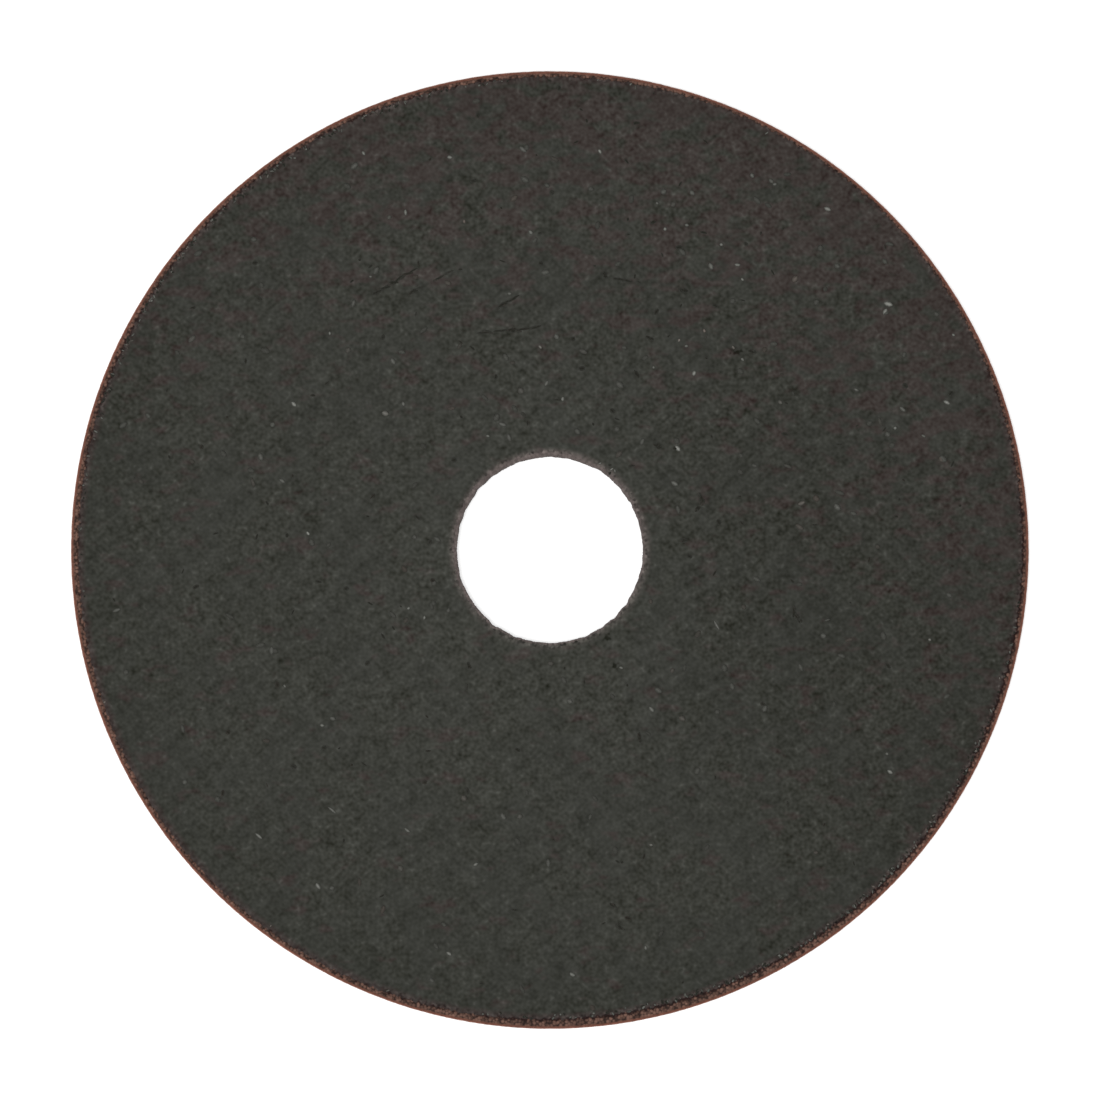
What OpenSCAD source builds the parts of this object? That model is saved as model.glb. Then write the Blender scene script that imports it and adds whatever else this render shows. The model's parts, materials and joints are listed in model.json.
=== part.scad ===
// Thin flat cut-off wheel for an angle grinder: abrasive grain, resin and a glass fabric on each
// side, pressed and cured as one piece. It lies on its lower face, with the bore axis along +Z and
// the origin where that axis meets the lower face. Millimetres.

/* [Wheel] */
// Outer diameter of the wheel
wheel_d = 115; // [100:0.5:180]
// Thickness over the two fabric faces
wheel_t = 1; // [0.8:0.05:3.2]

/* [Bore] */
// Diameter of the bore that takes the spindle flange
bore_d = 22.23; // [16:0.01:25.4]
// Width of the bare ring between the bore and the fabric
bore_ring_w = 0.35; // [0.25:0.05:2]
// Size of the broken edge at each end of the bore
bore_break = 0.1; // [0.02:0.01:0.2]

/* [Rim] */
// Width of the bare abrasive band between the fabric and the rim
rim_band_w = 0.85; // [0.35:0.05:3]
// Radius that rounds each edge of the rim
rim_round = 0.28; // [0.05:0.01:0.28]

/* [Fabric faces] */
// How far each fabric face stands proud of the bare abrasive
fabric_step = 0.05; // [0.02:0.01:0.1]

/* [Hidden] */
wheel_r = wheel_d / 2;
bore_r = bore_d / 2;
half_t = wheel_t / 2;
core_half_t = half_t - fabric_step;
fabric_inner_r = bore_r + bore_ring_w;
fabric_outer_r = wheel_r - rim_band_w;
$fn = 240;

// A rectangle of the section between two radii, half_h to either side of the middle of the wheel
module layer(inner_r, outer_r, half_h) {
    translate([inner_r, -half_h])
        square([outer_r - inner_r, 2 * half_h]);
}

// What the rounding takes off the upper edge of the rim
module rim_rounding() {
    translate([wheel_r - rim_round, core_half_t - rim_round])
        difference() {
            square(2 * rim_round);
            circle(r = rim_round);
        }
}

// What the broken edge takes off the upper end of the bore
module bore_breaking() {
    polygon([
        [bore_r - bore_break, core_half_t],
        [bore_r, core_half_t - bore_break],
        [bore_r + bore_break, core_half_t],
        [bore_r, core_half_t + bore_break],
    ]);
}

// Half of the wheel cut along its axis, the same above and below its middle
module section() {
    difference() {
        union() {
            layer(bore_r, wheel_r, core_half_t);
            layer(fabric_inner_r, fabric_outer_r, half_t);
        }
        for (side = [0, 1])
            mirror([0, side]) {
                rim_rounding();
                bore_breaking();
            }
    }
}

// The wheel: its section turned about the bore axis
module wheel() {
    color("#3b3b37")
        translate([0, 0, half_t])
            rotate_extrude()
                section();
}

wheel();
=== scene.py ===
import json
import math
import bpy
import numpy as np
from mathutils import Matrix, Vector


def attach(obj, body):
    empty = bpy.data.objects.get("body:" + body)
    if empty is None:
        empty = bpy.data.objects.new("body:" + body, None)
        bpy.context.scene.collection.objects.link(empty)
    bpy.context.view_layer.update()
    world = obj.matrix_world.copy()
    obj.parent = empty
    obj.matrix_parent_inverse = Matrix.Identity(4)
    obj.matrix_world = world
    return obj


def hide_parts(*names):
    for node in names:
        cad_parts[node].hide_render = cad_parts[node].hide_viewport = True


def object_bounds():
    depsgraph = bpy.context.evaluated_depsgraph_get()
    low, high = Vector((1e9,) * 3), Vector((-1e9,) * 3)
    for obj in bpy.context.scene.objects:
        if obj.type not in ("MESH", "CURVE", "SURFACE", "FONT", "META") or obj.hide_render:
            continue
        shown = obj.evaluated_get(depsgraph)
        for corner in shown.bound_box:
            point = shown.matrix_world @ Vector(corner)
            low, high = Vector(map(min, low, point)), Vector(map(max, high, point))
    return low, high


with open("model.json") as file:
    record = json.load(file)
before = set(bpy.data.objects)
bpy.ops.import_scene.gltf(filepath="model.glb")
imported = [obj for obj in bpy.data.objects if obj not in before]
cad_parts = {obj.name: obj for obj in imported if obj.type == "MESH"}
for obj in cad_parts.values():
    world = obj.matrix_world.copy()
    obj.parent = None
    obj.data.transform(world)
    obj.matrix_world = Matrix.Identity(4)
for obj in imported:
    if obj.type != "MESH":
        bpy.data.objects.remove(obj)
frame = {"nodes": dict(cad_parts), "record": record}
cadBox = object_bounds()
print("frame loaded:", sorted(frame["nodes"]))

# sizes that the CAD model fixes, in millimetres
wheelRadius = 1000 * min(-cadBox[0][0], cadBox[1][0], -cadBox[0][1], cadBox[1][1])
wheelThickness = 1000 * (cadBox[1][2] - cadBox[0][2])
boreMount = next(mount for mount in frame["record"]["mounts"] if mount["name"] == "bore")
boreRadius = boreMount["dims"]["r_mm"]


# an object in the scene that holds a mesh, a lamp or a camera
def newObject(name, data):
    made = bpy.data.objects.new(name, data)
    bpy.context.scene.collection.objects.link(made)
    return made


# a mesh from points in millimetres and faces, with named values for each point that its material reads
def newMesh(name, points, faces, values):
    mesh = bpy.data.meshes.new(name)
    mesh.from_pydata((points * 0.001).tolist(), [], faces)
    for label, amount in values.items():
        mesh.attributes.new(label, "FLOAT", "POINT").data.foreach_set("value", amount.astype(np.float32))
    mesh.polygons.foreach_set("use_smooth", np.ones(len(mesh.polygons), bool))
    mesh.update()
    return mesh


# ripples of the glass fabrics pressed into the faces, each with its pitch in mm, heading in degrees,
# strength and phase in degrees
weave = {
    "nearFabric": [
        (4.25, -131.0, 0.43, 134), (2.13, -131.0, 0.55, -2), (1.416, -131.0, 0.53, 145),
        (1.064, -131.0, 0.25, -29), (4.32, -39.4, 0.95, 18), (2.15, -39.4, 0.50, 15),
    ],
    "farFabric": [(4.27, -162.8, 0.77, 82), (4.11, -72.5, 0.64, -136)],
    "fleece": [(1.61, -58.7, 0.88, -57)],
    "coarse": 3.0,          # longer pitches are kept in the mesh, shorter ones are drawn by the material
    "finest": 1.3,          # pitches shorter than this are left to the grain
    "steepness": 1.6,       # of the way from a crown to a hollow, which are level themselves
}


# sum of strength * cos(2 pi (x cos h + y sin h) / pitch + phase) over the waves
def waveSum(waves, x, y, turn=0.0):
    pitch, heading, strength, phase = np.array(waves).T
    heading = np.radians(heading + turn)
    along = x[..., None] * np.cos(heading) + y[..., None] * np.sin(heading)
    return np.cos(2 * np.pi * along / pitch + np.radians(phase)) @ strength


# dip of the weave: 0 at its crowns and 1 in its hollows, from the sum of its waves over that of their
# strengths
def weaveDip(x, y, turn=0.0):
    waves = weave["nearFabric"] + weave["farFabric"]
    crown = waveSum(waves, x, y, turn) / sum(strength for pitch, heading, strength, phase in waves)
    return 0.5 - 0.5 * np.clip(weave["steepness"] * crown, -1, 1)


# shape of the wheel, in millimetres and degrees; a wobble is its fewest and most waves a turn and a spread
wheelShape = {
    "faceSegments": 500,            # round the bore and both faces; the rim has four times as many
    "upperRings": 60,
    "lowerRings": 28,
    "faceTo": 55.0,                 # radius of the last of those rings
    "stripFrom": 55.5,              # radius of the first row of the rim
    "sunk": 0.012,                  # face below the ends of the fibres that lie on it
    "weaveDepth": 0.02,             # hollows between the threads of the fabric
    "lowerTurn": 58,                # lower fabric against the upper one
    "fabricStep": 0.05,             # fabric above the bare abrasive
    "bandWidth": 0.84,              # bare band round the rim
    "bandLeast": 0.36,
    "bandSwing": [(1, 0.185, -97), (2, 0.116, -58), (3, 0.061, 50), (4, 0.083, 8)],  # waves, size, bearing
    "upperJag": (60, 620, 0.07),    # wobble of the fabric's torn edge, above and below
    "lowerJag": (3, 500, 0.07),
    "edgeSteps": (0.1, 0.06, 0.13),     # rows beside that edge: inside it, in the crack and past the crack
    "bandRows": 4,
    "crackDepth": 0.05,             # gap that runs along that edge
    "rimRound": 0.28,
    "roundSteps": (20, 45, 70),     # rows of the rounding
    "wallSteps": (0.66, 0.5, 0.34),     # rows of the wall, as shares of the thickness
    "rimGrain": 0.06,               # how far the grain breaks up the bare abrasive
    "grainRows": 22,
    "grainShares": (1.5, 0.7, 0.5),     # of that, beside the crack, on the rounding and on the wall
    "boreBreak": 0.10,
    "boreNick": (3, 40, 0.09),      # wobbles of the uneven edge of the bore, broad and fine
    "boreChip": (40, 150, 0.036),
    "nickShares": (0.7, 0.8),       # of those, in the middle of the bore's wall and at its ends
    "boreRing": (0.10, 0.38, 125, 1.5),     # bare ring: narrowest, extra, where it is widest, how sharply
    "ringJag": (20, 160, 0.06),     # wobble of its outer edge
    "ringLeast": 0.05,
    "ringSteps": (0.03, 0.01, 0.04, 0.015, 0.12),   # broken edge, lip, step's foot and head, first ring
    "boreZone": (13, 16),           # radii from what belongs to the bore to what belongs to the rim
    "abrasiveFrom": -1.6,           # distance past the fabric's edge at which the second material starts
    "seed": 11,
}


# closed wobble round the wheel: a sum of cosines with whole numbers of waves a turn, scaled to a spread
def wobble(angle, random, fewest, most, spread):
    waves = np.arange(fewest, most)
    phase = random.uniform(0, 2 * np.pi, waves.size)
    size = random.uniform(0.3, 1.0, waves.size)
    total = np.cos(angle[:, None] * waves + phase) @ size
    return spread * total / total.std()


# grain on a grid: random heights, each with a share of its neighbours beside it and above it, as 0 to 1
def grainField(random, rows, columns, beside=0.6, above=0.35, spread=0.28):
    field = random.normal(size=(rows, columns))
    field = field + beside * (np.roll(field, 1, 1) + np.roll(field, -1, 1))
    field[1:] += above * field[:-1]
    return np.clip(0.5 + spread * field / field.std(), 0, 1)


# quads between rows of a ring grid: row i, column j to row i + 1, column j + 1, closed round the wheel
def ringQuads(start, rows, columns):
    column = np.arange(columns)
    following = np.roll(column, -1)
    row = start + columns * np.arange(rows - 1)[:, None]
    corners = [row + column, row + following, row + columns + following, row + columns + column]
    return np.stack(corners, -1).reshape(-1, 4)


# triangles from a coarse ring to a ring with four times its points: five to each coarse step
def ringFans(coarse, fine, columns):
    column = np.arange(columns)
    a, b = coarse + column, coarse + np.roll(column, -1)
    f = [fine + (4 * column + k) % (4 * columns) for k in range(5)]
    fans = [(a, b, f[2]), (a, f[1], f[0]), (a, f[2], f[1]), (b, f[3], f[2]), (b, f[4], f[3])]
    return np.stack([np.stack(fan, -1) for fan in fans], 1).reshape(-1, 3)


# height of the upper face: the CAD model's, less what the fibres stand proud and less the weave's dip
def upperFace(shape, radius, angle):
    dip = weaveDip(radius * np.cos(angle), radius * np.sin(angle))
    return wheelThickness - shape["sunk"] - shape["weaveDepth"] * dip


# height of the lower face: the dip of the weave, mirrored and turned
def lowerFace(shape, radius, angle):
    dip = weaveDip(radius * np.cos(angle), -radius * np.sin(angle), shape["lowerTurn"])
    return shape["weaveDepth"] * dip


# radius at which the upper fabric stops: the wheel's less the band, whose width is a sum of cosines
def fabricEdge(shape, angle):
    swing = sum(size * np.cos(waves * (angle - math.radians(at))) for waves, size, at in shape["bandSwing"])
    return wheelRadius - shape["bandWidth"] - swing


# the torn edges of both fabrics: each edge less its wobble, and never closer to the rim than the least band
def tornEdges(shape, angle, random):
    upperEdge = fabricEdge(shape, angle) - wobble(angle, random, *shape["upperJag"])
    lowerEdge = wheelRadius - shape["bandWidth"] - wobble(angle, random, *shape["lowerJag"])
    outermost = wheelRadius - shape["bandLeast"]
    return np.minimum(upperEdge, outermost), np.minimum(lowerEdge, outermost)


# section at the bore, as radius and height of each row from the middle of its wall up to the fabric:
# the bore's radius plus its nicks, then a ring whose width goes as a power of a raised cosine
def boreSection(shape, angle, random):
    top, bare = wheelThickness, wheelThickness - shape["fabricStep"]
    narrow, extra, widest, power = shape["boreRing"]
    ring = narrow + extra * (0.5 + 0.5 * np.cos(angle - math.radians(widest))) ** power
    nick = np.maximum(wobble(angle, random, *shape["boreNick"]), 0)
    nick = nick + np.abs(wobble(angle, random, *shape["boreChip"]))
    lip = boreRadius + shape["boreBreak"] + nick
    innerEdge = lip + np.maximum(ring + wobble(angle, random, *shape["ringJag"]), shape["ringLeast"])
    middleShare, endShare = shape["nickShares"]
    broken, lipDrop, foot, headDrop, firstRing = shape["ringSteps"]
    radius = np.vstack([
        boreRadius + middleShare * nick, boreRadius + endShare * nick,
        lip - broken, lip, innerEdge - foot, innerEdge,
    ])
    height = np.array([
        0.5 * top, bare - shape["boreBreak"],
        bare - broken, bare - lipDrop, bare, top - headDrop,
    ])
    return radius, height[:, None] + 0 * angle, innerEdge, innerEdge + firstRing


# section round the rim, as radius and height of each row: the upper face, the fabric's edge, the crack,
# the bare band, a quarter circle less its grain, the wall, and the same back underneath
def rimSection(shape, angle, random, upperEdge, lowerEdge):
    top, bare = wheelThickness, wheelThickness - shape["fabricStep"]
    level = np.zeros_like(angle)
    crackShare, roundShare, wallShare = shape["grainShares"]
    grain = shape["rimGrain"] * grainField(random, shape["grainRows"], angle.size)
    grain[4:6] *= crackShare

    # rows of that grain for each stretch of the section
    crackGrain, bandGrain, upperGrain, wallGrain, lowerGrain, underGrain = (
        grain[first:last] for first, last in ((4, 5), (5, 9), (8, 11), (11, 14), (14, 17), (17, 20)))

    strip, shoulder = shape["stripFrom"], wheelRadius - shape["rimRound"]
    inside, crack, past = shape["edgeSteps"]
    stripRadius = np.vstack([level + strip, 0.4 * strip + 0.6 * upperEdge, upperEdge - inside])
    turn = np.radians(shape["roundSteps"])[:, None]
    upperReach = shape["rimRound"] - roundShare * upperGrain
    lowerReach = shape["rimRound"] - roundShare * lowerGrain
    radius = np.vstack([
        stripRadius, upperEdge, upperEdge + crack,
        np.linspace(upperEdge + past, level + shoulder, shape["bandRows"]),
        shoulder + upperReach * np.sin(turn),
        wheelRadius - wallShare * wallGrain,
        shoulder + lowerReach * np.sin(turn[::-1]),
        level + shoulder, 0.5 * shoulder + 0.5 * lowerEdge, lowerEdge + crack, lowerEdge, level + strip,
    ])
    height = np.vstack([
        upperFace(shape, stripRadius, angle), level + top - shape["sunk"],
        bare - shape["crackDepth"] - crackGrain, bare - bandGrain,
        bare - shape["rimRound"] + upperReach * np.cos(turn),
        np.array(shape["wallSteps"])[:, None] * top + level,
        top - bare + shape["rimRound"] - lowerReach * np.cos(turn[::-1]),
        top - bare + underGrain, level + shape["sunk"], lowerFace(shape, level + strip, angle),
    ])
    return radius, height


# the wheel: its section, as radius and height for each row, carried round the axis and closed on itself
def buildWheel(shape):
    random = np.random.default_rng(shape["seed"])
    few, many = shape["faceSegments"], 4 * shape["faceSegments"]
    faceAngle = 2 * np.pi * np.arange(few) / few
    rimAngle = 2 * np.pi * np.arange(many) / many
    upperEdge, lowerEdge = tornEdges(shape, rimAngle, random)
    boreRow, boreHeight, innerEdge, firstRing = boreSection(shape, faceAngle, random)
    rimRow, rimHeight = rimSection(shape, rimAngle, random, upperEdge, lowerEdge)

    # out across the upper face, and back across the lower one into the bore
    upperRing = np.linspace(firstRing, 0 * faceAngle + shape["faceTo"], shape["upperRings"])
    lowerRing = np.linspace(0 * faceAngle + shape["faceTo"], firstRing, shape["lowerRings"])
    upperRow = np.vstack([boreRow, upperRing])
    upperHeight = np.vstack([boreHeight, upperFace(shape, upperRing, faceAngle)])
    lowerRow = np.vstack([lowerRing, boreRow[:0:-1]])
    lowerHeight = np.vstack([lowerFace(shape, lowerRing, faceAngle), wheelThickness - boreHeight[:0:-1]])

    # how far each point lies past the edge of its fabric
    rimBare = rimRow - np.where(rimHeight > 0.5 * wheelThickness, upperEdge, lowerEdge)
    bare = np.concatenate([past.ravel() for past in (innerEdge - upperRow, rimBare, innerEdge - lowerRow)])
    stretches = [
        (upperRow, upperHeight, faceAngle),
        (rimRow, rimHeight, rimAngle),
        (lowerRow, lowerHeight, faceAngle),
    ]
    points = np.vstack([
        np.stack([row * np.cos(angle), row * np.sin(angle), height], -1).reshape(-1, 3)
        for row, height, angle in stretches
    ])
    rimStart = upperRow.size
    lowerStart = rimStart + rimRow.size
    lastRow = lowerStart + lowerRow.size - few
    column = np.arange(few)
    following = np.roll(column, -1)
    quads = np.vstack([
        ringQuads(0, len(upperRow), few),
        ringQuads(rimStart, len(rimRow), many),
        ringQuads(lowerStart, len(lowerRow), few),
        np.stack([lastRow + column, lastRow + following, following, column], -1),
    ])[:, ::-1]
    fans = np.vstack([
        ringFans(rimStart - few, rimStart, few)[:, ::-1],
        ringFans(lowerStart, lowerStart - many, few),
    ])

    coarse = [wave for wave in weave["nearFabric"] + weave["farFabric"] if wave[0] > weave["coarse"]]
    threads = waveSum(coarse, points[:, 0], points[:, 1])
    mesh = newMesh("cutOffWheel", points, quads.tolist() + fans.tolist(), {"bare": bare, "weave": threads})
    second = np.concatenate([bare[part].max(1) > shape["abrasiveFrom"] for part in (quads, fans)])
    mesh.polygons.foreach_set("material_index", second.astype(np.int32))
    mesh.validate()
    print("wheel surface:", len(points), "points,", 2 * len(quads) + len(fans), "triangles")
    return newObject("cutOffWheel", mesh)


# wraps one output socket: sums, products and powers of wires and numbers add Math nodes
class Wire:
    # a tree to add nodes to, and the socket that later nodes read
    def __init__(self, tree, socket=None):
        self.tree = tree
        self.socket = socket

    # any node: its type, its settings, its sockets by name or number, and the output to carry on from
    def node(self, kind, settings=None, sockets=None, output=0):
        made = self.tree.nodes.new("ShaderNode" + kind)
        for name, value in (settings or {}).items():
            setattr(made, name, value)
        for place, value in (sockets or {}).items():
            if isinstance(value, Wire):
                self.tree.links.new(value.socket, made.inputs[place])
            else:
                made.inputs[place].default_value = value
        return Wire(self.tree, made.outputs[output] if len(made.outputs) else None)

    # another output of the same node
    def other(self, output):
        return Wire(self.tree, self.socket.node.outputs[output])

    # one Math node on wires and numbers
    def maths(self, operation, *values):
        return self.node("Math", {"operation": operation}, dict(enumerate(values)))

    # the operators that are used, and their reflected forms
    def __add__(self, other):
        return self.maths("ADD", self, other)

    def __sub__(self, other):
        return self.maths("SUBTRACT", self, other)

    def __rsub__(self, other):
        return self.maths("SUBTRACT", other, self)

    def __mul__(self, other):
        return self.maths("MULTIPLY", self, other)

    def __pow__(self, other):
        return self.maths("POWER", self, other)

    __radd__ = __add__
    __rmul__ = __mul__

    # 0 below low, 1 above high and a soft rise between
    def rise(self, low, high):
        return self.node("MapRange", {"interpolation_type": "SMOOTHSTEP"}, {0: self, 1: low, 2: high})

    # a colour or vector times a value
    def scaled(self, factor):
        return self.node("VectorMath", {"operation": "SCALE"}, {0: self, "Scale": factor})

    # as a mask: the first colour at 0, the second at 1
    def between(self, first, second):
        return self.node("Mix", {"data_type": "RGBA"}, {0: self, 6: first, 7: second}, 2)

    # as a place: cloudy noise of a size in mm, about 0.5
    def clouds(self, size, detail=2.0, roughness=0.5):
        return self.node("TexNoise", {}, {
            "Vector": self, "Scale": 1 / size, "Detail": detail, "Roughness": roughness})

    # as a place: counted in lengths along a heading and widths across it, from a middle
    def along(self, heading, length, width, middle=(0, 0, 0)):
        turn = (0, 0, math.radians(heading))
        return self.node("Mapping", {"vector_type": "TEXTURE"}, {
            0: self, "Location": middle, "Rotation": turn, "Scale": (length, width, 1)})

    # as a place: distance from the middle of an oval, 1 at its edge
    def oval(self, x, y, heading, halfLength, halfWidth):
        inside = self.along(heading, halfLength, halfWidth, (x, y, wheelThickness))
        return self.node("VectorMath", {"operation": "LENGTH"}, {0: inside}, 1)

    # as a place: its three coordinates
    def parts(self):
        x = self.node("SeparateXYZ", {}, {0: self})
        return x, x.other(1), x.other(2)

    # as a place: its distance from the wheel's axis, the root of x squared plus y squared
    def fromAxis(self):
        x, y = self.parts()[:2]
        return (x * x + y * y) ** 0.5

    # the place on the piece, in mm
    def placeOnPiece(self):
        return self.node("TexCoord", output="Object").scaled(1000)

    # a value that the mesh has for each point
    def attribute(self, name):
        return self.node("Attribute", {"attribute_name": name}, output="Fac")


# an empty material, and the wire that its nodes start from
def newMaterial(name):
    material = bpy.data.materials.new(name)
    material.use_nodes = True
    material.node_tree.nodes.clear()
    return material, Wire(material.node_tree)


# bumps of half their full strength, from a height that counts in shares of a depth in mm
def bumps(start, height, depth):
    return start.node("Bump", {}, {"Strength": 0.5, "Distance": 0.001 * depth, "Height": height})


# one surface as the material's output: its colour, roughness, gloss and what else its shader is given
def finishMaterial(material, start, colour, roughness, gloss, sockets):
    shader = start.node("BsdfPrincipled", {}, {
        "Base Color": colour, "Roughness": roughness, "Specular IOR Level": gloss, **sockets})
    start.node("OutputMaterial", {}, {0: shader})
    print("material", material.name + ":", len(start.tree.nodes), "nodes")
    return material


# finish of the woven faces; colours are linear, sizes in mm
fabricFinish = {
    "grey": (0.0391, 0.0403, 0.0338, 1),
    "olive": (0.0393, 0.0404, 0.0330, 1),
    "red": (0.0480, 0.0374, 0.0339, 1),
    "glass": (0.0397, 0.0403, 0.0368),      # what a tone of 1 adds: more neutral than the resin
    "grain": (0.44, 0.90, 0),               # size, strength and detail of three noises, fine to broad
    "mottle": (1.05, 0.48, 0),
    "cloud": (3.0, 0.31, 1),
    "patches": (8.0, 2.4, 3),               # where the grain is rough or smooth: size, strength and detail
    "noiseRoughness": 0.75,                 # of all four
    "faceShift": (37, 61),                  # by which the noise of the two faces differs
    "olivePatches": (0.4, 0.6),             # of those patches, from grey to olive
    "grainTrend": (1.1, -0.003, 0.0004, 0.0009),    # roughness: mean, growth outwards, rightwards, upwards
    "glints": (0.42, (0.56, 0.86), (0.5, 0.8)),     # pale spots where the two finer noises peak together
    "threads": [(140, 2.0, 0.5, 0.34), (38, 3.0, 0.5, 0.34)],   # heading, length, width and strength
    "weaveStrength": (0.048, 0.037, 22, 44),        # near the bore, near the rim, and from where to where
    "redReach": (0.59, 0.18, 0.40, 8, 60),  # growth outwards, rightwards, upwards, and from where to where
    "redSize": (4.4, 2.5),                  # of the blotches, across the picture and up it
    "redNoise": (1, 2.0, 0.67),             # their size in those lengths, detail and roughness
    "redGrowth": 0.185,                     # of the blotches with that reach
    "redEdge": (0.56, 0.72),                # of the noise, from where it is grey to where it is red
    "redShare": 0.82,                       # how red they are
    "stainReach": (-1.1, -0.1),             # red dust on the fabric, from here to its outer edge
    # painted light and shade on the face: paler round the bore, darker towards the rim and in an oval at
    # the right
    "boreGlow": (11, 32, 0.09),             # paler from the bore out to here
    "rimShade": (41, 57, 0.085),            # darker from here to the rim
    "sideShade": (33, -5, 21, 28, 50),      # darker oval: x, y, heading, half sizes
    "sideStrength": (0.105, 0.2, 1.1),      # of it, and from where it fades to where it ends
    "pits": [(6.9, -10.4, 100, 0.55, 0.42), (7.9, -13.8, 60, 0.5, 0.3), (22.4, 23.7, 10, 0.9, 0.3)],
    "pitTone": 0.35,
    "pitEdge": (2.5, 0.2, 1.2),             # how ragged, and from where it fades to where it ends
    "roughness": (0.96, 0.2),               # most, and what the broad noise takes off
    "bumpDepth": 0.05,
    "gloss": 0.15,
}


# tone of the fabric, about 1: noise of three sizes, threads, ripples as cosines, painted light and shade,
# and pits
def fabricTone(start, place, spot, finish, noises):
    fine, middle, broad, patch = noises
    x, y = place.parts()[:2]
    radius = place.fromAxis()
    mean, outFactor, rightFactor, upFactor = finish["grainTrend"]
    rough = mean + radius * outFactor + x * rightFactor + y * upFactor
    rough = (1 + (patch - 0.5) * finish["patches"][1]) * rough
    tone = ((fine - 0.5) * finish["grain"][1] + (middle - 0.5) * finish["mottle"][1]) * rough
    tone = 1 + tone + (broad - 0.5) * finish["cloud"][1]
    strength, finePeak, middlePeak = finish["glints"]
    tone = tone + fine.rise(*finePeak) * middle.rise(*middlePeak) * strength
    for heading, length, width, strength in finish["threads"]:
        tone = tone + (spot.along(heading, length, width).clouds(1, 1.0) - 0.5) * strength

    # the coarse ripples come from the mesh, the shorter ones are added here
    ripple = start.attribute("weave")
    for pitch, heading, strength, phase in weave["nearFabric"] + weave["fleece"]:
        if weave["finest"] < pitch < weave["coarse"]:
            turn, wave = math.radians(heading), 2 * math.pi / pitch
            across = start.node("VectorMath", {"operation": "DOT_PRODUCT"}, {
                0: place, 1: (wave * math.cos(turn), wave * math.sin(turn), 0)}, 1)
            ripple = start.maths("COSINE", across + math.radians(phase)) * strength + ripple
    inner, outer, low, high = finish["weaveStrength"]
    tone = tone + ripple * (inner + radius.rise(low, high) * (outer - inner))

    # painted light round the bore, painted shade at the rim and on the right side, and the pits
    low, high, strength = finish["boreGlow"]
    tone = tone + (1 - radius.rise(low, high)) * strength
    low, high, strength = finish["rimShade"]
    tone = tone - radius.rise(low, high) * strength
    strength, low, high = finish["sideStrength"]
    tone = tone - (1 - place.oval(*finish["sideShade"]).rise(low, high)) * strength
    ragged, low, high = finish["pitEdge"]
    for pit in finish["pits"]:
        outside = (place.oval(*pit) + (fine - 0.5) * ragged).rise(low, high)
        tone = tone * (finish["pitTone"] + (1 - finish["pitTone"]) * outside)
    return tone


# colour of the fabric, with its fine and broad noise: grey mixed with red, plus the tone less 1 times the
# colour of the glass
def fabricColour(start, place, finish):
    x, y, z = place.parts()
    radius = place.fromAxis()
    upper = z.rise(0.45 * wheelThickness, 0.55 * wheelThickness)
    shiftX, shiftY = finish["faceShift"]
    shift = start.node("CombineXYZ", {}, {0: upper * shiftX, 1: upper * shiftY})
    spot = start.node("VectorMath", {"operation": "ADD"}, {0: place, 1: shift})
    noises = [
        spot.clouds(size, detail, finish["noiseRoughness"])
        for size, strength, detail in (finish[name] for name in ("grain", "mottle", "cloud", "patches"))
    ]
    fine, middle, broad, patch = noises
    tone = fabricTone(start, place, spot, finish, noises)

    # red-brown abrasive showing through in blotches, most of it up and to the right, and as dust at the
    # outer edge
    outFactor, rightFactor, upFactor, low, high = finish["redReach"]
    reach = (radius * outFactor + x * rightFactor + y * upFactor).rise(low, high)
    blotch = spot.along(0, *finish["redSize"]).clouds(*finish["redNoise"])
    red = (blotch + reach * finish["redGrowth"]).rise(*finish["redEdge"]) * finish["redShare"]
    stain = start.attribute("bare").rise(*finish["stainReach"]) * radius.rise(*wheelShape["boreZone"])
    plain = patch.rise(*finish["olivePatches"]).between(finish["grey"], finish["olive"])
    resin = start.maths("MAXIMUM", red, stain).between(plain, finish["red"])
    colour = start.node("VectorMath", {"operation": "MULTIPLY_ADD"}, {
        0: tone - 1, 1: finish["glass"], 2: resin})
    return colour, fine, broad


# matt woven face: its colour, with its fine noise as bumps
def fabricMaterial(finish):
    material, start = newMaterial("wovenFace")
    colour, fine, broad = fabricColour(start, start.placeOnPiece(), finish)
    most, less = finish["roughness"]
    return finishMaterial(material, start, colour, most - less * broad, finish["gloss"], {
        "Normal": bumps(start, fine, finish["bumpDepth"])})


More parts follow.
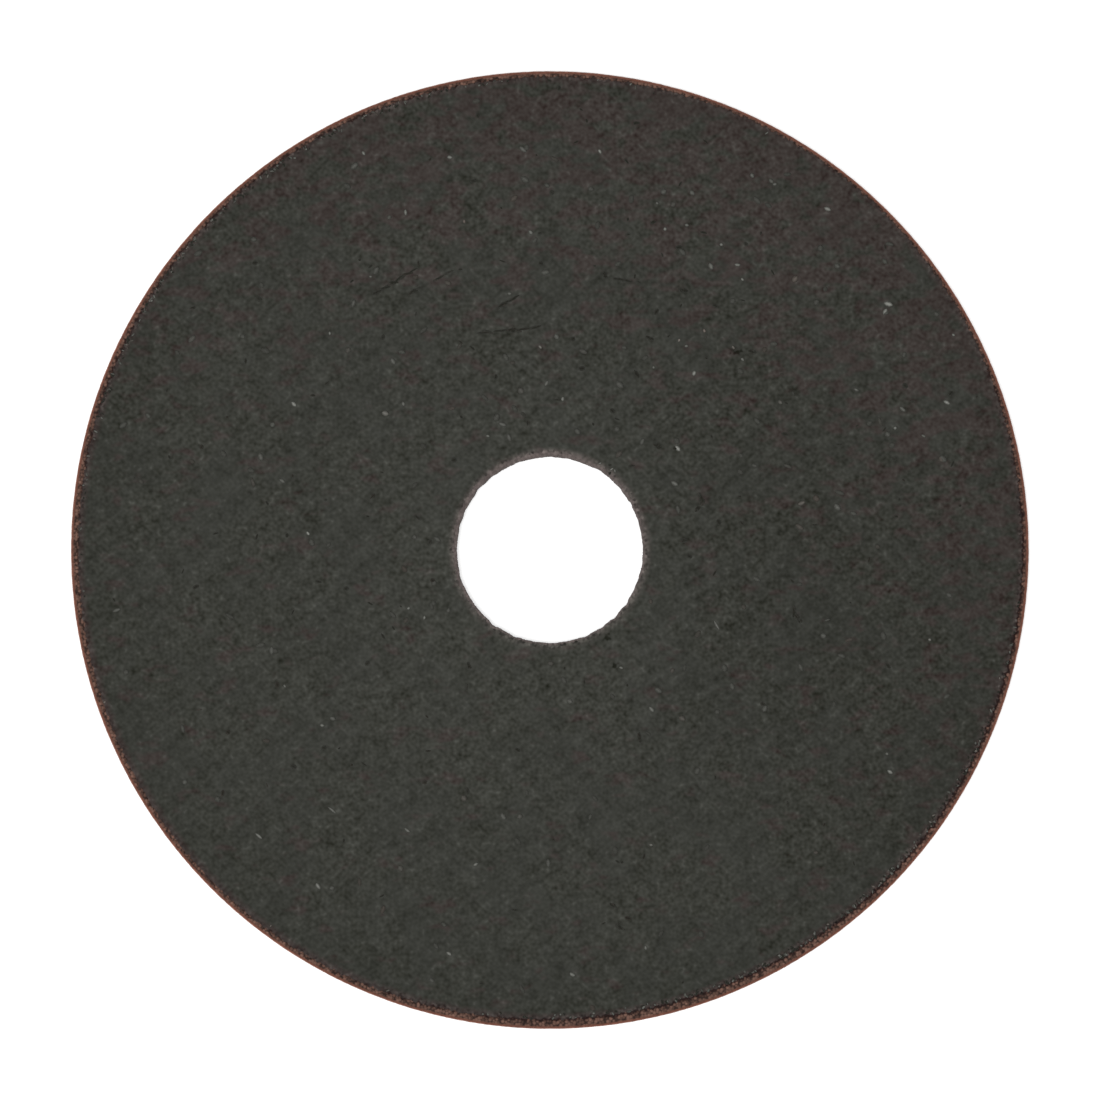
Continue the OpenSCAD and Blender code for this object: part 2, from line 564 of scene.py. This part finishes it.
# finish of the bare abrasive at the rim and the bore; colours are linear, sizes in mm
abrasiveFinish = {
    "inner": (0.124, 0.068, 0.051, 1),      # beside the fabric
    "outer": (0.158, 0.063, 0.043, 1),      # at the rim
    # painted highlight on the rim's roundings: its colour, where it reaches and how much of it each grain
    # keeps
    "edge": (0.55, 0.28, 0.21, 1),          # at its very edge
    "edgeReach": (0.19, 0.04),              # from here to here in from the rim
    "edgeLeast": 0.35,                      # and at least this much of it
    "lip": (0.45, 0.25),                    # smoother strip at the rim, from here to here in from it
    "wall": (0.15, 0.35),                   # height from the middle of the wall, to where the lip starts
    "wallGrit": 0.7,                        # how much of the lip's smoothness the wall loses
    "boreSmooth": 0.55,
    "bore": (0.136, 0.111, 0.104, 1),
    "pit": (0.014, 0.009, 0.008, 1),
    "pitStrength": (0.25, 0.45),            # in the bore, and more at the rim
    "pitEdge": (0.46, 0.76),                # from a grain's middle, where the dark gap starts and is full
    "gritSize": 0.35,
    "gritTone": (1.3, 0.7, 0.5),            # in a grain's middle, what its edge loses, and the least luck
    "smoothTone": (0.7, 0.6),               # least, and what the fine noise adds
    "rubbed": (0.135, 0.110, 0.103, 1),     # fabric worn pale round the bore
    "rubbedTo": 1.4,
    "rubbedTrend": (0.6, 0.03),             # mean, and growth upwards
    "rubbedGrain": (0.35, 1.3),             # least, and what the fine noise adds
    "tear": (0.45, 0.3),                    # how the fabric's edge strays: size and how far
    "tearNoise": (2.0, 0.6),                # detail and roughness
    "tornEdge": (-0.04, 0.10),              # from the fabric to the abrasive
    "crumbsTo": 0.8,                        # in from the torn edge
    "crumbTone": (1.1, 0.42, 0.4),          # in a grain's middle, luck of the face's own tone, least spread
    "crumbStrength": 2.0,
    # painted shade in the crack along the fabric's torn edge
    "crack": (0.020, 0.009, 0.008, 1),
    "crackAt": (0.05, 0.03, 0.28),          # past the torn edge, half its width and where it fades out
    "crackSpread": (0.53, 0.003, -0.0039, -0.00022),    # mean, then growth with x, y and x times y
    "crackRuns": (0.9, 1.0, 0.6),           # size, detail and roughness of the noise that breaks it up
    "crackTrend": 0.5,                      # of that noise with the spread
    "crackEdge": (0.46, 0.60),              # of that noise, from none to all of it
    "crackGrit": (0.3, 0.65, 0.15, 0.5),    # least, what the gaps in the grit add, and from where to where
    "bumpShares": (0.4, 0.6),               # of the fine noise, and the level of the grains
    "bumpDepth": 0.12,
    "roughness": 0.9,
    "gloss": 0.15,
}


# bare abrasive: grit cells with dark gaps, up to the torn edge where the bare attribute passes 0
def abrasiveMaterial(finish):
    material, start = newMaterial("bareAbrasive")
    place = start.placeOnPiece()
    x, y, z = place.parts()
    radius = place.fromAxis()
    fabric, fine = fabricColour(start, place, fabricFinish)[:2]

    # each grain of grit has a chance tone, palest in its middle, with dark gaps; the lip above the wall and
    # the bore are smoother
    grit = start.node("TexVoronoi", {}, {"Vector": place, "Scale": 1 / finish["gritSize"]})
    luck = start.node("SeparateColor", {}, {0: grit.other("Color")})
    lip = radius.rise(*(wheelRadius - inward for inward in finish["lip"]))
    wall = 1 - start.maths("ABSOLUTE", z - 0.5 * wheelThickness).rise(*finish["wall"])
    outside = radius.rise(*wheelShape["boreZone"])
    smooth = lip * (1 - finish["wallGrit"] * wall) + (1 - outside) * finish["boreSmooth"]
    middle, loss, least = finish["gritTone"]
    bead = (middle - grit * loss) * (least + luck)
    least, extra = finish["smoothTone"]
    tone = bead + (least + extra * fine - bead) * smooth
    least, extra = finish["pitStrength"]
    gap = grit.rise(*finish["pitEdge"]) * (1 - smooth) * (least + extra * outside)
    # painted highlight on the roundings above and below the wall, uneven from grain to grain
    edge = radius.rise(*(wheelRadius - inward for inward in finish["edgeReach"])) * (1 - wall)
    edge = edge * (finish["edgeLeast"] + (1 - finish["edgeLeast"]) * luck)
    rim = edge.between(lip.between(finish["inner"], finish["outer"]), finish["edge"])
    abrasive = gap.between(outside.between(finish["bore"], rim).scaled(tone), finish["pit"])

    # fabric rubbed pale towards the bore, most of it above
    mean, upFactor = finish["rubbedTrend"]
    least, extra = finish["rubbedGrain"]
    rub = (1 - radius.rise(boreRadius, boreRadius + finish["rubbedTo"])) * (mean + upFactor * y)
    fabric = (rub * (least + extra * fine)).between(fabric, finish["rubbed"])

    # crumbs of grit along both of its torn edges
    size, stray = finish["tear"]
    torn = start.attribute("bare") + (place.clouds(size, *finish["tearNoise"]) - 0.5) * stray
    mean, rightFactor, upFactor, cornerFactor = finish["crackSpread"]
    likely = mean + x * rightFactor + y * upFactor + x * y * cornerFactor
    middle, plainLuck, least = finish["crumbTone"]
    crumbs = torn.rise(-finish["crumbsTo"], 0) * (middle - grit) * (luck - plainLuck) * (least + likely)
    fabric = fabric.scaled(1 + crumbs * finish["crumbStrength"])
    mask = torn.rise(*finish["tornEdge"])

    # painted shade in the crack along the fabric's edge at the rim, most of it at the lower right and upper
    # left
    middle, low, high = finish["crackAt"]
    crack = 1 - start.maths("ABSOLUTE", torn - middle).rise(low, high)
    runs = place.clouds(*finish["crackRuns"]) + (likely - 0.5) * finish["crackTrend"]
    crack = crack * runs.rise(*finish["crackEdge"])
    least, extra, low, high = finish["crackGrit"]
    crack = crack * outside * (least + grit.rise(low, high) * extra)
    colour = crack.between(mask.between(fabric, abrasive), finish["crack"])
    share, level = finish["bumpShares"]
    height = fine * share + (level - grit) * mask
    return finishMaterial(material, start, colour, finish["roughness"], finish["gloss"], {
        "Normal": bumps(start, height, finish["bumpDepth"])})


wheel = buildWheel(wheelShape)
wheel.data.materials.append(fabricMaterial(fabricFinish))
wheel.data.materials.append(abrasiveMaterial(abrasiveFinish))
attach(wheel, "root")
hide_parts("wheel")


# glass fibres lying in the upper face, in millimetres and degrees; their tone goes from 0 dark to 1 pale
fibreShape = {
    # the larger ends: x, y, heading, half length, half width, tone
    "large": [
        (40.6, 29.5, 165, 0.57, 0.36, 0.75), (40.2, 28.6, 61, 0.44, 0.31, 0.6),
        (15.3, 12.2, 138, 0.46, 0.34, 0.8), (33.3, 40.9, 158, 0.46, 0.31, 0.62),
        (47.6, 17.7, 153, 0.46, 0.28, 0.62), (-27.8, -40.3, 125, 0.48, 0.29, 0.5),
        (-30.7, 17.5, 136, 0.41, 0.29, 0.65), (17.3, 21.2, 74, 0.34, 0.31, 0.62),
        (40.8, -26.6, 149, 0.39, 0.28, 0.6), (2.7, -50.9, 152, 0.39, 0.29, 0.48),
        (-34.9, -34.3, 140, 0.57, 0.22, 0.48), (-12.1, -48.4, 147, 0.39, 0.26, 0.5),
        (12.2, -19.1, 132, 0.44, 0.29, 0.42), (-12, 47.1, 175, 0.34, 0.29, 0.52),
        (22.5, 34.2, 174, 0.39, 0.24, 0.5), (6, 47.8, 120, 0.32, 0.22, 0.65),
        (-17.3, 40.5, 96, 0.39, 0.22, 0.5), (-8.9, -37.7, 30, 0.34, 0.24, 0.45),
        (-29, 2, 129, 0.28, 0.22, 0.7), (7.4, 9.7, 35, 0.28, 0.11, 0.6),
        (7.8, 9.5, 100, 0.21, 0.10, 0.55), (6, 10.4, 20, 0.25, 0.12, 0.5),
        (7.2, 9.2, 60, 0.22, 0.16, 0), (7.2, 10.2, 0, 0.24, 0.14, 0.02),
        (9.8, 10.1, 5, 0.39, 0.12, 0.03), (1.1, 55.4, 80, 0.33, 0.26, 0.02),
        (20, -9, 120, 0.75, 0.19, 0.36), (42.3, 16.9, 141, 0.48, 0.26, 0.34),
        (-26.1, -31.2, 141, 0.69, 0.19, 0.36), (-2.3, 38.1, 135, 0.34, 0.29, 0.42),
        (-17.1, -33.6, 143, 0.46, 0.22, 0.38), (-0.4, 20, 60, 0.41, 0.26, 0.34),
        (-32.1, 8.3, 153, 0.41, 0.26, 0.32),
    ],
    # scratches and small pits: x, y, heading, half length, half width; each is a run of dark dashes
    "scratches": [
        (-18.9, 32.0, 32, 2.9, 0.06), (-20.8, 30.8, 33, 0.4, 0.18), (-14.5, 32.0, 28, 2.8, 0.06),
        (-5.3, 29.6, 30, 2.0, 0.06), (-5.4, 29.6, 38, 0.4, 0.14), (-4.9, 26.4, 6, 3.4, 0.07),
        (-4.0, 26.3, 3, 0.5, 0.08), (9.3, 32.3, 170, 1.5, 0.05), (29.3, -7.4, 95, 0.45, 0.16),
        (29.8, -8.2, 130, 0.4, 0.14), (8.4, -45.2, 136, 0.5, 0.14), (7.6, -42.6, 130, 0.3, 0.16),
        (24.2, 23.8, 164, 0.35, 0.14), (15.9, 31.1, 171, 0.4, 0.15), (12.9, 12.5, 167, 0.3, 0.17),
        (18.2, 6.0, 99, 0.6, 0.15), (17.7, 4.9, 45, 0.2, 0.15), (10.3, 51.2, 14, 0.25, 0.16),
        (12.0, 25.4, 158, 0.45, 0.1), (10.4, 21.1, 123, 0.35, 0.1), (-9.7, -13.9, 101, 0.25, 0.13),
        (12.3, 39.3, 15, 0.22, 0.1), (16.0, 1.1, 174, 0.28, 0.1), (10.7, -22.5, 102, 0.4, 0.12),
        (6.6, 33.0, 130, 0.25, 0.15),
    ],
    "dashes": (11, (0.13, 0.20), 0.085),    # in each scratch: count, half width, palest tone
    "dashLength": (0.12, 0.24, (0.6, 1.4)),     # least, growth with the scratch's, and how it varies
    "dashScatter": (0.6, 10),               # across the scratch, as a share of its width, and of headings
    # the scattered ones: count, half length, half width, least tone and mean extra, scatter of headings,
    # how far they crowd to one bearing, and the power of the radius by which their number grows (2 is even)
    "scattered": {
        "ends": (75, (0.30, 0.58), (0.28, 0.44), (0.17, 0.06), 20, 0.60, 1.4),
        "tufts": (100, (0.30, 0.60), (0.24, 0.40), (0.13, 0.04), 30, 0.15, 1.4),
        "hairs": (120, (0.15, 0.45), (0.10, 0.19), (0.0, 0.03), 60, 0.40, 1.5),
        "specks": (45, (0.28, 0.45), (0.24, 0.36), (0.02, 0.02), 60, 0.50, 0.8),
        "chips": (34, (0.18, 0.32), (0.18, 0.27), (0.32, 0.12), 40, 0.75, 1.7),
    },
    "scatteredOver": (13.5, 55.2),  # radii between which they lie
    "palest": 0.5,                  # of their tones
    "crowdedAt": 65,                # bearing to which they crowd
    "headings": (139, 50),          # along the threads of the near fabric
    "headingShares": (0.7, 0.3),    # of the scattered ones
    "warmShare": 0.35,              # of all but the larger ends, tinted by the abrasive
    # bits of glass and dark gaps along the fabric's outer edge: count, how far in, half size, share that is
    # dark, and the bearings round which they lie, with their spread
    "crumbs": (420, 0.55, (0.08, 0.19), 0.45, (135, 305), 24),
    "crumbLength": 1.6,             # against their width
    "crumbTone": (0.15, 0.42),      # of those that aren't dark
    "crumbsFrom": 0.1,              # in from the edge
    "bend": (0.06, 0.4),            # most, and the square of the place that stays on the straight line
    "rows": 5,                      # points along a fibre and round it
    "around": 6,
    "cutAt": 0.92,                  # share of the spindle's half length at which it is cut off
    "faceTone": 0.11,               # tone at which a fibre can't be told from the face
    "fade": (0.9, 1.6, 0.12),       # of the tone: loss at the ends, share on the ridge and on the flanks
    "stand": 0.010,                 # height above the face
    "sink": 0.020,                  # depth below it
    "seed": 5,
}


# rows of scattered fibres, as x, y, heading, half length, half width and tone: a random power of the
# radius, and a bearing less a sine of itself, which crowds them
def scatteredFibres(shape, random):
    near, far = shape["scatteredOver"]
    rows = []
    for kind in shape["scattered"].values():
        count, halfLength, halfWidth, (least, extra), scatter, crowding, power = kind
        radius = random.uniform(near ** power, far ** power, count) ** (1 / power)
        bearing = random.uniform(0, 2 * np.pi, count)
        bearing = bearing - crowding * np.sin(bearing - math.radians(shape["crowdedAt"]))
        heading = random.choice(shape["headings"], count, p=shape["headingShares"])
        rows.append(np.stack([
            radius * np.cos(bearing), radius * np.sin(bearing), heading + random.normal(0, scatter, count),
            random.uniform(*halfLength, count), random.uniform(*halfWidth, count),
            np.clip(least + random.exponential(extra, count), 0, shape["palest"]),
        ], -1))
    return np.vstack(rows)


# rows of crumbs beside the outer edge of the fabric: its radius less a random square, round two bearings
def edgeCrumbs(shape, random):
    count, reach, halfSize, darkShare, bearings, spread = shape["crumbs"]
    bearing = np.radians(random.choice(bearings, count) + random.normal(0, spread, count))
    inward = shape["crumbsFrom"] + reach * random.uniform(0, 1, count) ** 2
    radius = fabricEdge(wheelShape, bearing) - inward
    heading = random.uniform(0, 180, count)
    halfLength = shape["crumbLength"] * random.uniform(*halfSize, count)
    halfWidth = random.uniform(*halfSize, count)
    dark = random.uniform(0, 1, count) < darkShare
    tone = np.where(dark, 0, random.uniform(*shape["crumbTone"], count))
    x, y = radius * np.cos(bearing), radius * np.sin(bearing)
    return np.stack([x, y, heading, halfLength, halfWidth, tone], -1)


# rows of dashes strewn along each scratch: random shares of its length and width, turned to its heading
def scratchDashes(shape, random):
    count, halfWidth, palest = shape["dashes"]
    acrossScatter, turnScatter = shape["dashScatter"]
    least, growth, vary = shape["dashLength"]
    x, y, heading, halfLength, width = np.repeat(np.array(shape["scratches"]), count, 0).T
    along = halfLength * random.uniform(-1, 1, x.size)
    across = width * random.normal(0, acrossScatter, x.size)
    turn = np.radians(heading)
    return np.stack([
        x + along * np.cos(turn) - across * np.sin(turn), y + along * np.sin(turn) + across * np.cos(turn),
        heading + random.normal(0, turnScatter, x.size),
        (least + growth * np.sqrt(halfLength)) * random.uniform(*vary, x.size),
        random.uniform(*halfWidth, x.size), random.uniform(0, palest, x.size),
    ], -1)


# flattened spindles: along one, the half width falls as the root of 1 - u squared and the middle line
# bends as u squared; a few points go round it
def buildFibres(shape):
    random = np.random.default_rng(shape["seed"])
    large = np.array(shape["large"])
    fibres = np.vstack([
        large, scatteredFibres(shape, random), edgeCrumbs(shape, random), scratchDashes(shape, random)])
    x, y, heading, halfLength, halfWidth, tone = fibres.T[:, :, None, None]
    rows, around = shape["rows"], shape["around"]
    u = np.linspace(-shape["cutAt"], shape["cutAt"], rows)[:, None]
    turn = 2 * np.pi * (np.arange(around) + 0.5) / around
    swell = np.sqrt(1 - u ** 2)
    mostBend, onLine = shape["bend"]
    bend = mostBend * random.uniform(-1, 1, x.shape)
    warm = np.clip(shape["warmShare"] - random.uniform(0, 1, len(x)), 0, None) / shape["warmShare"]
    warm[:len(large)] = 0
    along = halfLength * u
    across = halfWidth * swell * np.cos(turn) + bend * halfLength * (u ** 2 - onLine)
    lift = np.where(np.sin(turn) > 0, shape["stand"], shape["sink"]) * np.sin(turn) * swell
    heading = np.radians(heading)

    # the upper half starts from the crowns of the weave, the lower half from halfway down its hollows
    crown = wheelThickness - wheelShape["sunk"]
    halfDepth = 0.5 * wheelShape["weaveDepth"]
    points = np.stack(np.broadcast_arrays(
        x + along * np.cos(heading) - across * np.sin(heading),
        y + along * np.sin(heading) + across * np.cos(heading),
        np.where(lift > 0, crown, crown - halfDepth) + lift), -1)
    ridge = turn == turn[np.sin(turn).argmax()]
    lossAtEnds, ridgeShare, flankShare = shape["fade"]
    fade = (1 - lossAtEnds * u ** 2) * np.where(ridge, ridgeShare, flankShare)
    pale = np.clip(shape["faceTone"] + (tone - shape["faceTone"]) * fade, 0, 1)

    first = rows * around * np.arange(len(fibres))[:, None]
    quads = (first + ringQuads(0, rows, around).reshape(1, -1)).reshape(-1, 4)
    column = np.arange(around)
    caps = np.vstack([first + column[::-1], first + (rows - 1) * around + column])
    mesh = newMesh("glassFibres", points.reshape(-1, 3), quads.tolist() + caps.tolist(), {
        "pale": pale.ravel(), "warm": np.repeat(warm, rows * around)})
    print("glass fibres:", len(fibres))
    return newObject("glassFibres", mesh)


# finish of the fibres: from dark resin to pale glass by the pale attribute, a little uneven
fibreFinish = {
    "dark": (0.010, 0.010, 0.006, 1),
    "pale": (0.27, 0.272, 0.247, 1),
    "warm": (0.29, 0.242, 0.215, 1),
    "unevenSize": 0.2,
    "uneven": (0.6, 0.8),           # least, and what the noise adds
    "roughness": (0.9, 0.4),        # most, and what the palest lose
    "gloss": 0.2,
}


# pale glass, matt where it is faint: dark mixed with pale by the tone times a noise
def fibreMaterial(finish):
    material, start = newMaterial("glassFibre")
    pale = start.attribute("pale")
    least, extra = finish["uneven"]
    uneven = least + extra * start.placeOnPiece().clouds(finish["unevenSize"], 1.0)
    glass = start.attribute("warm").between(finish["pale"], finish["warm"])
    colour = (pale * uneven).between(finish["dark"], glass)
    most, less = finish["roughness"]
    return finishMaterial(material, start, colour, most - less * pale, finish["gloss"], {})


fibres = buildFibres(fibreShape)
fibres.data.materials.append(fibreMaterial(fibreFinish))
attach(fibres, "root")


# floor and light, in millimetres and watts
studio = {
    "floorSize": 6000,
    "floorDrop": 0.02,              # just under the lower face
    "floorColour": (0.80, 0.80, 0.80, 1),
    "floorLift": 0.51,              # glow that takes the lit floor to white in the picture
    "skyLevel": 0.62,
    "keyPlace": (-280, -180, 700),
    "keyWidth": 500,
    "keyPower": 2.7,
}


# square floor on a grid of two parameters
def buildFloor(setup):
    half = setup["floorSize"] / 2
    u, v = np.meshgrid([-half, half], [-half, half])
    points = np.stack([u, v, np.full_like(u, -setup["floorDrop"])], -1).reshape(-1, 3)
    mesh = newMesh("paleFloor", points, [(0, 1, 3, 2)], {})
    material, start = newMaterial("paleFloor")
    seen = start.node("LightPath", output="Is Camera Ray")
    seen = seen + seen.other("Is Glossy Ray") + seen.other("Is Transmission Ray")
    matt = start.node("BsdfDiffuse", {}, {"Color": setup["floorColour"]})
    glow = start.node("Emission", {}, {"Strength": seen * setup["floorLift"]})
    both = start.node("AddShader", {}, {0: matt, 1: glow})
    start.node("OutputMaterial", {}, {0: both})
    mesh.materials.append(material)
    floor = newObject("paleFloor", mesh)


# even sky that the camera sees as white, and one wide lamp from the left
def buildLight(setup):
    world = bpy.data.worlds.new("paleSky")
    bpy.context.scene.world = world
    world.use_nodes = True
    world.node_tree.nodes.clear()
    start = Wire(world.node_tree)
    seen = start.node("LightPath", output="Is Camera Ray")
    level = setup["skyLevel"] + seen * (1 - setup["skyLevel"])
    sky = start.node("Background", {}, {"Color": (1, 1, 1, 1), "Strength": level})
    start.node("OutputWorld", {}, {0: sky})
    lamp = bpy.data.lights.new("keyLamp", "AREA")
    lamp.size = 0.001 * setup["keyWidth"]
    lamp.energy = setup["keyPower"]
    key = newObject("keyLamp", lamp)
    key.location = [0.001 * part for part in setup["keyPlace"]]
    key.rotation_euler = (-key.location).to_track_quat("-Z", "Y").to_euler()


buildFloor(studio)
buildLight(studio)
print("studio set")


# camera straight above, framing the upper face; millimetres
view = {
    "lens": 100,
    "frameWidth": 131.9,
    "centre": (0.018, 0.005),
}
cameraData = bpy.data.cameras.new("camera")
cameraData.lens = view["lens"]
camera = newObject("camera", cameraData)
away = view["frameWidth"] * view["lens"] / cameraData.sensor_width
camera.location = (0.001 * view["centre"][0], 0.001 * view["centre"][1], 0.001 * (wheelThickness + away))
bpy.context.scene.camera = camera
bpy.context.scene.view_settings.view_transform = "Standard"
print("camera", round(away), "mm above the wheel")
